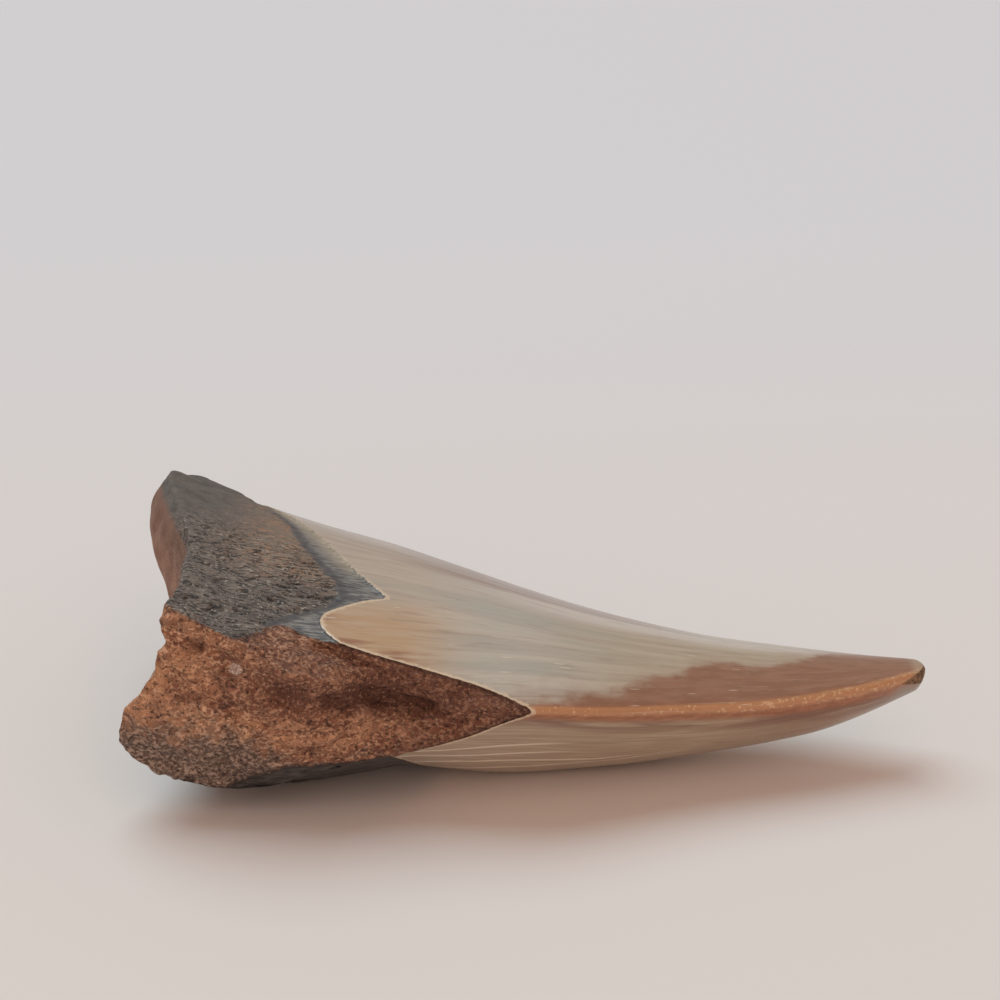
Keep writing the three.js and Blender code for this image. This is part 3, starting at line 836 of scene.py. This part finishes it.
def specks_group():
    """Specks in random cells of a Size: Share is how many cells have one, Core its radius."""
    tree, given, end = new_group(
        "specks", {"Place": "Vector", "Size": "Float", "Share": "Float", "Core": "Float"},
        {"Amount": "Float"})
    place, size, share, core = list(given.outputs)[:4]
    cells = add(tree, "TexVoronoi", {"Vector": place, "Scale": maths(tree, "DIVIDE", 1.0, size)})
    soft = times(tree, core, SPECK_SOFTNESS)
    near = eased_step(tree, cells.outputs["Distance"], soft, core, 1.0, 0.0)
    chosen = maths(tree, "LESS_THAN", parts(tree, cells.outputs["Color"])[0], share)
    feed(tree, end, {"Amount": times(tree, near, chosen)})
    return tree


grain, border, specks = grain_group(), border_group(), specks_group()
print("shared effects:", [g.name for g in (grain, border, specks)])


def grains(tree, place, size, stretch, low=0.4, high=0.6):
    """Amount of lengthwise grain at a place."""
    given = {"Place": place, "Size": size, "Stretch": stretch, "Low": low, "High": high}
    return use(tree, grain, given)[0]


def bordered(tree, distance, width, wander, place, size):
    """1 on the inner side of a wandering border, where the distance is positive."""
    given = {"Distance": distance, "Width": width, "Wander": wander, "Place": place, "Size": size}
    return use(tree, border, given)[0]


def speckled(tree, place, size, share, core):
    """Amount of separate specks at a place."""
    return use(tree, specks, {"Place": place, "Size": size, "Share": share, "Core": core})[0]


# %% [markdown]
# ## Layers of colour
#
# Each surface is a stack of named layers, as stains lie over one another on the fossil. Long chains of nodes
# could be written out one by one. Here a table has a row for each layer, and one function lays them in turn.
# A row says its shade, or an effect and the two shades that it mixes, then where it lies, then its strength.
# Where it lies is a list of amounts that are multiplied: an effect's name, or the zone of a distance as (its
# name, from, to) and, if they aren't 0 and 1, the levels that it starts and ends with.

# %% Layers
SURFACE = {"Color": "Color", "Roughness": "Float", "Height": "Float"}


def amounts(tree, effects, where):
    """Product of effects and of zones of distances."""
    found = [effects[w] if isinstance(w, str) else eased_step(tree, effects[w[0]], *w[1:]) for w in where]
    return times(tree, *found)


def tint(tree, effects, shades):
    """A shade, a colour by its name, or two shades that an effect mixes."""
    if isinstance(shades, str):
        return effects[shades]
    if isinstance(shades[0], str):
        return mixed(tree, effects[shades[0]], shade(*shades[1]), shade(*shades[2]))
    return shade(*shades)


def painted(tree, effects, layers):
    """Colour of a stack of layers, the first of which is the ground."""
    (ground, *_rest), *others = layers.values()
    colour = tint(tree, effects, ground)
    for shades, where, strength in others:
        amount = times(tree, amounts(tree, effects, where), strength)
        colour = mixed(tree, amount, colour, tint(tree, effects, shades))
    return colour


# %% [markdown]
# ## The enamel
#
# Fossil enamel has taken up minerals: grey green in the middle, tan at its base, red brown at the tip and
# orange along the worn cutting edge. It could be painted by hand, but paint stretches over a curved crown.
# Here the streaks follow the growth of the crown and meet in the tip, because they are drawn in the fan's
# place. Polish leaves it glossy, with fine pale scratches.
#
# Distances are in millimetres: t back from the tip, across from -20 at the near edge to 20 at the far one,
# edge around the crown from the near cutting edge, positive on the lip side.

# %% Enamel
LIP_SIDE = (-0.1, 0.3)
CHIP_BORDER = (-0.1, 0.1)
CREST = [("edge", -0.9, 0), ("edge", 1.5, 0.7)]
# Width of a grain, how much longer it is, and the levels of the noise between which it rises
ENAMEL_GRAINS = {
    "fine": (0.5, 24, 0.38, 0.66), "broad": (2.6, 14, 0.38, 0.62), "green": (5, 5, 0.45, 0.7),
    "dark tan": (1.6, 7, 0.5, 0.68), "dark lilac": (1.2, 16), "streaks": (0.8, 12, 0.56, 0.68),
    "blotches": (2.4, 2), "clouds": (4, 4, 0.35, 0.55), "hairs": (0.22, 70, 0.66, 0.74),
}
# Tongue side: partly its own olive tint, partly painted shade, as this side faces down.
OLIVE_LAYERS = {
    "olive": (("fine", (166, 144, 119), (180, 160, 136)), [], 1),
    "brown tip": ((146, 110, 88), [("t", 34, 12)], 0.8),
}
ENAMEL_LAYERS = {
    "grey": (("broad", (177, 167, 157), (194, 182, 170)), [], 1),
    "green": ((168, 170, 158), ["green"], 0.65),
    "warm tip": (("broad", (169, 149, 124), (182, 164, 139)), [("t", 56, 38)], 0.75),
    "tan base": (
        ("dark tan", (188, 150, 112), (152, 98, 62)), [("t", 60, 72), ("across", 3, -6, 0.2), "lip"], 0.9),
    "lilac stripe": (
        ("dark lilac", (158, 132, 120), (134, 104, 92)),
        [("across", 10, 12.5), ("t", 28, 40), ("t", 76, 62, 0.25), "lip"], 0.92),
    # Partly painted shade: the olive darkens the whole down-facing side of the crown.
    "olive and painted shade below": ("olive", ["tongue"], 0.85),
    "fine grain": ((208, 194, 176), ["fine"], 0.22),
    # Painted reflection: a pale band inside the far edge, standing in for glossy enamel mirroring the light.
    "painted reflection": (
        (216, 204, 196), [("across", 3, 8), ("t", 66, 48), ("across", 12, 10, 0.1, 0.75), "lip"], 1),
    "streaks": ((140, 118, 98), ["streaks"], 0.35),
    "tinge": ((158, 120, 100), ["ahead of red", "lip"], 0.3),
    "red": (("blotches", (136, 88, 62), (148, 101, 76)), ["red", "lip"], 0.92),
    "brown under the edge": ((124, 84, 68), [("edge", -6, -3), ("edge", 0.5, 0), "clouds"], 0.8),
    "orange edge": (
        ("dark orange", (152, 92, 58), (172, 110, 72)), [("edge", -2.9, -1.1), ("edge", 2.2, 0.1)], 0.9),
    # Top of the worn edge: partly its own tan colour, partly a painted highlight along the rounded edge.
    "tan crest and painted highlight": ((204, 150, 104), CREST, 0.6),
    "flecks": ((234, 198, 158), ["flecks", *CREST], 0.5),
    "scratches": ((226, 216, 202), ["scratches"], 0.7),
    "folds": ((240, 226, 206), ["folds"], 0.85),
    "pale border": ((222, 198, 170), [("ragged line", 0.95, 0.5), "away from far arm"], 0.8),
    "cap": ((176, 150, 124), [("t", 2.6, 1.2), "lip"], 0.8),
    "low side of the tip": ((146, 130, 116), [("t", 5.5, 3.5), ("edge", -0.4, -1.2)], 0.7),
    "chip": (("chip grain", (84, 58, 36), (140, 104, 72)), ["chip"], 1),
}
FOLD_STARTS = (31, 50)
FOLD_GROWS = (-3, 5)
FOLD_WIDTH = (0.13, 0.05)
FLECK_LEVELS = (0.63, 0.56)
ENAMEL_GLOSS = {"smooth": 0.28, "fine": 0.4, "chip": 0.7}


def folded(tree, t, tongue):
    """Fine pale folds on the tongue side, where their count is whole; two of them start further back."""
    count = mark(tree, "fold")
    start = eased_step(tree, count, 1.6, 1.4, *FOLD_STARTS)
    seen = eased_step(tree, maths(tree, "SUBTRACT", t, start), *FOLD_GROWS)
    from_fold = maths(tree, "PINGPONG", count, 0.5)
    return times(tree, seen, tongue, eased_step(tree, from_fold, *FOLD_WIDTH))


def enamel_effects(tree):
    """Places, distances, grains, borders and specks that the layers of the enamel refer to."""
    fan, bone = add(tree, "Attribute", attribute_name="fan").outputs["Vector"], bone_place(tree)
    found = {name: grains(tree, fan, *given) for name, given in ENAMEL_GRAINS.items()}
    t, across, above = parts(tree, fan)
    red, lip = mark(tree, "red"), eased_step(tree, above, *LIP_SIDE)
    tongue = maths(tree, "SUBTRACT", 1.0, lip)
    level = eased_step(tree, t, 50, 12, *FLECK_LEVELS)
    dots = grains(tree, bone, 0.55, 1.3, level, maths(tree, "ADD", level, 0.04))
    drawn_out = add(tree, "VectorMath", {0: fan, 1: (0.1, 1, 1)}, operation="MULTIPLY").outputs[0]
    scratches = times(tree, speckled(tree, drawn_out, size=0.8, share=0.42, core=0.12), lip)
    ragged = times(tree, grains(tree, bone, 0.6, 1, 0.3, 0.7), 0.45)
    faint = times(tree, eased_step(tree, across, -2, 6, 0, 0.75), lip)
    found.update({
        "t": t, "across": across, "edge": mark(tree, "edge"), "lip": lip, "tongue": tongue,
        "ahead of red": bordered(tree, maths(tree, "ADD", red, 2.5), 5, 4, fan, 3),
        "red": bordered(tree, red, 2.6, 3.4, fan, 4),
        "dark orange": grains(tree, bone, 0.7, 3),
        "flecks": maths(tree, "MAXIMUM", dots, speckled(tree, bone, size=0.8, share=0.45, core=0.3)),
        "scratches": maths(tree, "MAXIMUM", scratches, times(tree, found["hairs"], 0.7)),
        "folds": folded(tree, t, tongue),
        "ragged line": maths(tree, "ADD", mark(tree, "line"), ragged),
        "away from far arm": maths(tree, "SUBTRACT", 1.0, faint),
        "chip grain": grains(tree, bone, 0.6, 1),
        "chip": eased_step(tree, mark(tree, "chip"), *CHIP_BORDER),
    })
    return found


def enamel_group():
    """Colour, roughness and height of the enamel from its distances to line, edge, red zone and folds."""
    tree, _given, end = new_group("enamel", {}, SURFACE)
    found = enamel_effects(tree)
    found["olive"] = painted(tree, found, OLIVE_LAYERS)
    rough = blended(tree, found["fine"], ENAMEL_GLOSS["smooth"], ENAMEL_GLOSS["fine"])
    feed(tree, end, {
        "Color": painted(tree, found, ENAMEL_LAYERS),
        "Roughness": blended(tree, found["chip"], rough, ENAMEL_GLOSS["chip"]),
        "Height": stacked(tree, (found["fine"], 0.01), (found["folds"], 0.03))})
    return tree


print(len(ENAMEL_LAYERS), "layers of enamel")

# %% [markdown]
# ## The root and its band
#
# The root is bone with fine canals, stained dark grey and browner near the enamel. The smooth band between
# the two is blue grey, with wrinkles that run towards the tip. The band could be a strip of faces with a
# material of its own, but its border to the root is feathered, so it is a wandering border and not a line
# of the mesh. Its places are millimetres in the part's frame: x to the tip, y to the whole side, z up.

# %% Root skin
BROWN = [("x", -46, -33), ("y", -16, -6)]
ROOT_GRAINS = {
    "mottle": (2.2, 2, 0.32, 0.68), "slate grain": (3, 1.5), "orange": (0.6, 2, 0.54, 0.62),
    "long pits": (0.42, 6.5, 0.55, 0.62), "short pits": (0.6, 3.4, 0.57, 0.64),
    "dust": (0.34, 1.8, 0.55, 0.64), "streaks": (0.45, 6, 0.4, 0.62), "ochre grain": (2.6, 1, 0.3, 0.7),
}
BAND_LAYERS = {
    "blue grey": (("streaks", (78, 78, 82), (140, 136, 132)), [], 1),
    "dark side": ((54, 54, 59), [("into band", 2.2, 0.8)], 0.75),
}
OCHRE_LAYERS = {
    "ochre": (("ochre grain", (142, 100, 78), (174, 132, 110)), [], 1),
    "shaded top": ((88, 58, 46), [("z", 20, 27)], 0.5),
}
ROOT_LAYERS = {
    "dark grey": (("mottle", (94, 84, 79), (124, 111, 102)), [], 1),
    "slate": (("slate grain", (82, 79, 78), (100, 92, 87)), [("y", -2, 14)], 0.7),
    "brown": ((146, 122, 104), BROWN, 0.7),
    "orange flecks": ((178, 130, 98), [*BROWN, "orange"], 0.7),
    "pits": ((40, 35, 34), ["pits"], 0.85),
    "dust": ((190, 180, 170), ["dust"], 0.75),
    "band": ("band colour", ["band"], 1),
    "beige far arm": (
        ("streaks", (150, 138, 120), (186, 170, 150)),
        [("from enamel", -3.6, -0.6), "band", ("y", -10, 0)], 0.9),
    # Painted shade: a thin dark strip on the root just under the enamel's step, on the near arm.
    "painted shade under the enamel edge": ((66, 62, 62), [("line", -0.7, -0.2), ("y", 0, -10)], 0.35),
    # Painted shade: the skin below about 12 to 16 mm is darkened nearly to black, for its down-facing side.
    "underside": (("streaks", (40, 36, 36), (72, 65, 62)), [("z", 16, 12)], 0.92),
    "end wall": ("ochre", ["wall"], 0.92),
}
ROOT_GLOSS = {"stone": 0.75, "band": 0.42}


def root_group():
    """Colour, roughness and height of the outer root, its dark band and its ochre end."""
    tree, _given, end = new_group("root skin", {}, SURFACE)
    bone = bone_place(tree)
    found = {name: grains(tree, bone, *given) for name, given in ROOT_GRAINS.items()}
    found["x"], found["y"], found["z"] = parts(tree, bone)
    calm = eased_step(tree, found["y"], -4, 12, 1, 0.15)
    pits = maths(tree, "MAXIMUM", found["short pits"], found["long pits"])
    found["pits"], found["dust"] = times(tree, pits, calm), times(tree, found["dust"], calm)
    found["into band"] = mark(tree, "band")
    found["line"], found["wall"] = mark(tree, "line"), mark(tree, "wall")
    found["band"] = bordered(tree, found["into band"], 0.8, 1.4, bone, 1.4)
    found["from enamel"] = maths(tree, "SUBTRACT", found["line"], times(tree, found["streaks"], 1.2))
    found["band colour"] = painted(tree, found, BAND_LAYERS)
    found["ochre"] = painted(tree, found, OCHRE_LAYERS)
    height = stacked(tree, (found["dust"], 0.07), (found["pits"], -0.2))
    height = blended(tree, found["band"], height, 0.0)
    feed(tree, end, {
        "Color": painted(tree, found, ROOT_LAYERS),
        "Roughness": blended(tree, found["band"], ROOT_GLOSS["stone"], ROOT_GLOSS["band"]),
        "Height": maths(tree, "ADD", height, times(tree, found["streaks"], 0.03))})
    return tree


print(len(ROOT_LAYERS), "layers of the root")

# %% [markdown]
# ## The break
#
# Inside, the root is red brown, as porous and sandy as a rusk, with orange crumbs, dark hollows and a pale
# crystal. Low down it turns grey brown, where weather has reached it longer. Noise alone could colour it,
# but it would look the same all over. Here painted shade darkens the mesh's hollows and painted light
# brightens its ledges, and each tint keeps to its place on the break.

# %% Broken inside
CRYSTAL_PLACE = (-36.6, 0, 22.3)
GREY_UP_TO = (14.2, 8.4)
BREAK_GRAINS = {
    "crumbs": (0.46, 1.3), "clumps": (1.2, 1.8, 0.34, 0.66), "patches": (3.4, 1.8),
    "dark grain": (2, 2.6, 0.5, 0.66), "holes": (0.5, 1.2, 0.58, 0.66),
}
BREAK_LAYERS = {
    "red brown": (("clumps", (108, 60, 43), (162, 106, 80)), [], 1),
    "crumbs": ((216, 162, 128), ["crumbs"], 0.62),
    "orange": (("crumbs", (158, 100, 70), (234, 184, 146)), ["patches", ("x", -22, -40, 0.25, 0.85)], 1),
    "light belt": ((216, 160, 122), ["belt", "clumps"], 1),
    "dull top": (("crumbs", (98, 62, 50), (146, 104, 86)), [("z", 14, 18), ("x", -40, -33)], 0.5),
    "dark": ((96, 54, 40), ["dark"], 0.5),
    # Painted shade: the deeper the mesh's hollows, the darker they are painted.
    "hollows": ((82, 42, 28), [("depth", 0.5, 2)], 0.8),
    # Painted light: the raised ledges of the mesh are painted lighter.
    "ledges": ((204, 148, 112), [("depth", -0.2, -1)], 0.4),
    "grey stone": (("crumbs", (80, 68, 62), (156, 136, 124)), ["grey"], 0.85),
    "sand": ((222, 180, 148), ["sand"], 0.4),
    "holes": ((58, 34, 26), ["holes"], 0.6),
    "crystal": ((222, 200, 188), [("from crystal", 1.1, 0.9)], 0.9),
    "core of the crystal": ((158, 118, 102), [("from crystal", 0.65, 0.4)], 0.7),
    "shadow along the rim": ((58, 42, 38), [("from rim", 1.1, 0.2)], 0.5),
}
BREAK_GLOSS = {"hollow": 0.8, "crumb": 0.6}


def break_effects(tree, bone):
    """Places, distances, grains and specks that the layers of the break refer to."""
    found = {name: grains(tree, bone, *given) for name, given in BREAK_GRAINS.items()}
    x, y, z = parts(tree, bone)
    belt = times(tree, eased_step(tree, z, 9, 12.5), eased_step(tree, z, 17, 14))
    belt = times(tree, belt, eased_step(tree, x, -10, -24, 0, 0.75))
    below = maths(tree, "SUBTRACT", eased_step(tree, x, -39, -27, *GREY_UP_TO), z)
    flat = add(tree, "CombineXYZ", {0: x, 2: z}).outputs[0]
    away = add(tree, "VectorMath", {0: flat, 1: CRYSTAL_PLACE}, operation="DISTANCE").outputs["Value"]
    from_line = times(tree, mark(tree, "line"), -1.0)
    found.update({
        "x": x, "z": z, "depth": mark(tree, "depth"),
        "belt": maths(tree, "MAXIMUM", belt, eased_step(tree, x, -36, -44, 0, 0.75)),
        "dark": maths(tree, "MAXIMUM", found["dark grain"], eased_step(tree, x, -24, -10, 0, 0.9)),
        "grey": bordered(tree, below, 6, 5, bone, 1.6),
        "sand": speckled(tree, bone, size=0.7, share=0.4, core=0.28),
        "from crystal": maths(tree, "ADD", away, times(tree, found["crumbs"], 0.45)),
        "from rim": maths(tree, "MINIMUM", mark(tree, "rim"), from_line),
    })
    return found


def break_group():
    """Colour, roughness and height of the broken inside."""
    tree, _given, end = new_group("broken inside", {}, SURFACE)
    found = break_effects(tree, bone_place(tree))
    heights = {"clumps": 0.2, "crumbs": 0.16, "holes": -0.25, "sand": 0.1}
    feed(tree, end, {
        "Color": painted(tree, found, BREAK_LAYERS),
        "Roughness": blended(tree, found["crumbs"], BREAK_GLOSS["hollow"], BREAK_GLOSS["crumb"]),
        "Height": stacked(tree, *((found[name], height) for name, height in heights.items()))})
    return tree


print(len(BREAK_LAYERS), "layers of the break")

# %% [markdown]
# ## One material for the tooth
#
# On the real tooth the layers meet without a seam. Three materials on three sets of faces would meet in the
# zigzag of the mesh. One material that holds all three groups can let each border wander between the mesh's
# points: raggedly along the far arm of the enamel line, closely elsewhere.

# %% The tooth's material
LINE_WANDER = (0.3, 1.0)
COAT = 0.5
COAT_ROUGHNESS = 0.12
MILLIMETRE = 0.001


def tooth_material():
    """The three layers put together: the enamel line and the break's rim decide which one shows."""
    material = bpy.data.materials.new("fossil tooth")
    material.use_nodes = True
    tree = material.node_tree
    enamel, skin, inside = (use(tree, group) for group in (enamel_group(), root_group(), break_group()))
    bone = bone_place(tree)
    in_break = bordered(tree, mark(tree, "rim"), 0.3, 1.3, bone, 0.9)
    jagged = eased_step(tree, parts(tree, bone)[1], -12, -6, *LINE_WANDER)
    on_crown = bordered(tree, mark(tree, "line"), 0.12, jagged, bone, 0.7)
    colour = mixed(tree, on_crown, mixed(tree, in_break, skin[0], inside[0]), enamel[0])
    rough, height = (
        blended(tree, on_crown, blended(tree, in_break, skin[k], inside[k]), enamel[k]) for k in (1, 2))
    bump = add(tree, "Bump", {"Height": height, "Strength": 1.0, "Distance": MILLIMETRE})
    polish = times(tree, on_crown, eased_step(tree, mark(tree, "chip"), *CHIP_BORDER, COAT, 0))
    feed(tree, tree.nodes["Principled BSDF"], {
        "Base Color": colour, "Roughness": rough, "Normal": bump.outputs[0], "Coat Weight": polish,
        "Coat Roughness": COAT_ROUGHNESS})
    return material


tooth.data.materials.append(tooth_material())
print("material nodes:", len(tooth.data.materials[0].node_tree.nodes))

# %% [markdown]
# ## Table and light
#
# A pale table runs past the edge of the picture. It could be lit by one lamp, but one lamp leaves hard, even
# shadows. A soft and slightly cool overhead light, a little behind the tooth, throws the shadow forward, and
# a wide warm light from the front opens up the break, as a room with a window does.

# %% Table and light
TABLE_REACH = 3
TABLE_FAR = (0.78, 0.76, 0.80, 1)
TABLE_NEAR = (0.82, 0.74, 0.71, 1)
TABLE_FADE = (0.35, -0.1)
TABLE_ROUGHNESS = 0.7
ROOM_COLOUR = (1.0, 0.78, 0.66, 1)
ROOM_STRENGTH = 0.42
# Name, energy, width in degrees, colour and turn in degrees
LAMPS = [
    ("overhead light", 1.55, 48, (0.66, 0.915, 1.0), (-20, -17, 0)),
    ("light from the front", 0.7, 80, (1.0, 0.76, 0.63), (60, 0, 0)),
]


def table_material():
    """Pale paper that turns a little warmer towards the front."""
    paper = bpy.data.materials.new("pale table")
    paper.use_nodes = True
    tree = paper.node_tree
    local_y = parts(tree, add(tree, "TexCoord").outputs["Object"])[1]
    colour = mixed(tree, eased_step(tree, local_y, *TABLE_FADE), TABLE_FAR, TABLE_NEAR)
    feed(tree, tree.nodes["Principled BSDF"], {"Base Color": colour, "Roughness": TABLE_ROUGHNESS})
    return paper


def wide_sun(name, energy, width, colour, turn):
    """A sun lamp as wide as a window."""
    made = bpy.data.objects.new(name, bpy.data.lights.new(name, "SUN"))
    made.data.energy = energy
    made.data.angle = math.radians(width)
    made.data.color = colour
    made.rotation_euler = [math.radians(v) for v in turn]
    bpy.context.scene.collection.objects.link(made)


bpy.ops.mesh.primitive_plane_add(size=2 * TABLE_REACH, location=(0, 0, 0))
table = bpy.context.object
table.name = "table"
table.data.materials.append(table_material())
for lamp in LAMPS:
    wide_sun(*lamp)

room = bpy.data.worlds.new("room")
room.use_nodes = True
feed(room.node_tree, room.node_tree.nodes["Background"], {0: ROOM_COLOUR, 1: ROOM_STRENGTH})
bpy.context.scene.world = room
bpy.context.scene.view_settings.view_transform = "Standard"
print("lights:", [lamp[0] for lamp in LAMPS])
